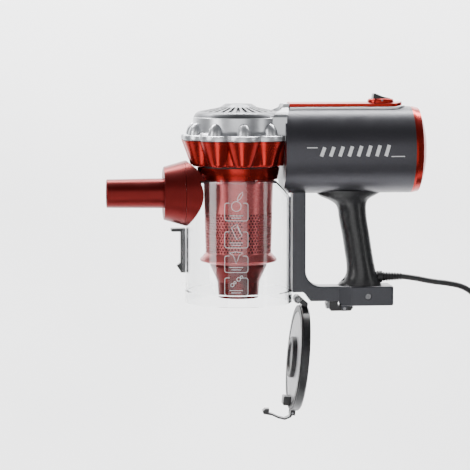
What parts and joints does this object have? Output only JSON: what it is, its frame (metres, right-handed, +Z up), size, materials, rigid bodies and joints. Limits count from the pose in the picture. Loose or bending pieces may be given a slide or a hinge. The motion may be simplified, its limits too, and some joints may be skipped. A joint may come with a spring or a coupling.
{
  "type": "handheld vacuum cleaner",
  "caption": "Corded handheld cyclone vacuum: clear dust bin with bottom door, lobed cyclone head, motor barrel, loop handle and mains lead.",
  "frame": {"origin": "middle of the hand grip", "axes": "+Z up, the inlet tube points along -X, the machine is symmetric about the plane Y = 0"},
  "size_m": [0.4405, 0.1228, 0.4049],
  "materials": {
    "gunmetal": "metallic satin gunmetal paint",
    "frame_grey": "satin dark grey plastic",
    "metallic_red": "metallic red paint",
    "satin_red": "satin dark red plastic",
    "silver": "bright silver paint",
    "cap_grey": "satin silver-grey paint",
    "clear_plastic": "clear polished plastic",
    "shroud_grey": "metallic coating",
    "black_plastic": "fine-grained black plastic",
    "door_face": "light grey plastic",
    "rubber_black": "matt black rubber",
    "steel": "plain steel",
    "fan_alloy": "cast alloy",
    "copper": "copper segments",
    "foam": "open-cell foam"
  },
  "bodies": {
    "root": {"motor_housing_left": "gunmetal", "motor_housing_right": "gunmetal", "rear_cap": "metallic_red", "exhaust_filter": "foam", "top_spine": "metallic_red", "spine_trim": "silver", "switch_bezel": "metallic_red", "rocker_pin": "steel", "switch_module": "black_plastic", "motor_stator": "steel", "fan_shroud": "black_plastic", "motor_bearings": "steel", "motor_brackets": "steel", "motor_mount_ring": "rubber_black", "motor_brushes": "black_plastic", "cyclone_crown": "silver", "crown_bridge": "silver", "cyclone_cones": "metallic_red", "cyclone_collar": "metallic_red", "collar_gasket": "rubber_black", "bin_top_plate": "clear_plastic", "dust_shroud": "shroud_grey", "shroud_skirt": "shroud_grey", "fine_dust_funnel": "satin_red", "frame_arm_left": "frame_grey", "frame_arm_right": "frame_grey", "base_block": "frame_grey", "grip_left": "black_plastic", "grip_right": "black_plastic", "housing_screws": "steel", "lever_pin": "steel", "cord_strain_relief": "rubber_black", "cord_clamp": "black_plastic", "cord_lead": "rubber_black", "cord_coil": "rubber_black", "cord_tie": "rubber_black", "cord_tail": "rubber_black", "mains_plug": "rubber_black", "plug_pins": "steel"},
    "dust_bin": {"dust_bin": "clear_plastic", "inlet_tube": "satin_red", "inlet_cone": "satin_red", "inlet_saddle": "satin_red", "door_hinge_pin": "steel", "latch_spring": "steel"},
    "bin_latch": {"bin_latch": "black_plastic"},
    "bin_door": {"bin_door": "black_plastic", "door_seal": "rubber_black", "door_inner_face": "door_face", "funnel_plug": "rubber_black", "catch_pin": "steel"},
    "door_catch": {"door_catch": "black_plastic"},
    "filter_cap": {"filter_cap": "cap_grey", "pre_motor_filter": "foam"},
    "rotor": {"motor_rotor": "steel", "commutator": "copper", "suction_fan": "fan_alloy"},
    "power_rocker": {"power_rocker": "black_plastic"},
    "release_lever": {"release_lever": "black_plastic", "lever_tip": "door_face"}
  },
  "joints": [
    {"name": "bin_slide", "type": "slide", "parent": "root", "child": "dust_bin", "axis": [0, 0, -1], "range_m": [0, 0.13]},
    {"name": "latch_slide", "type": "slide", "parent": "dust_bin", "child": "bin_latch", "axis": [0, 0, -1], "range_m": [0, 0.0045], "stiffness_N_per_m": 400, "springref_m": -0.002, "deforming": ["latch_spring"]},
    {"name": "door_hinge", "type": "hinge", "parent": "dust_bin", "child": "bin_door", "pos_m": [-0.0651, 0, -0.0586], "axis": [0, 1, 0], "range_deg": [-8, 84.6]},
    {"name": "door_catch_flex", "type": "hinge", "parent": "bin_door", "child": "door_catch", "pos_m": [-0.07054, 0, -0.17993], "axis": [0, -1, 0], "range_deg": [0, 8], "stiffness_Nm_per_rad": 0.08, "springref_deg": -2.86},
    {"name": "filter_cap_lift", "type": "slide", "parent": "root", "child": "filter_cap", "axis": [0, 0, 1], "range_m": [0, 0.04]},
    {"name": "rotor_spin", "type": "hinge", "parent": "root", "child": "rotor", "pos_m": [0, 0, 0.0987], "axis": [1, 0, 0], "continuous": true},
    {"name": "power_rocker_tip", "type": "hinge", "parent": "root", "child": "power_rocker", "pos_m": [0.0225, 0, 0.1506], "axis": [0, -1, 0], "range_deg": [0, 18]},
    {"name": "release_lever_press", "type": "hinge", "parent": "root", "child": "release_lever", "pos_m": [-0.016, 0, -0.0686], "axis": [0, -1, 0], "range_deg": [0, 7], "stiffness_Nm_per_rad": 0.3, "springref_deg": -5.73}
  ]
}
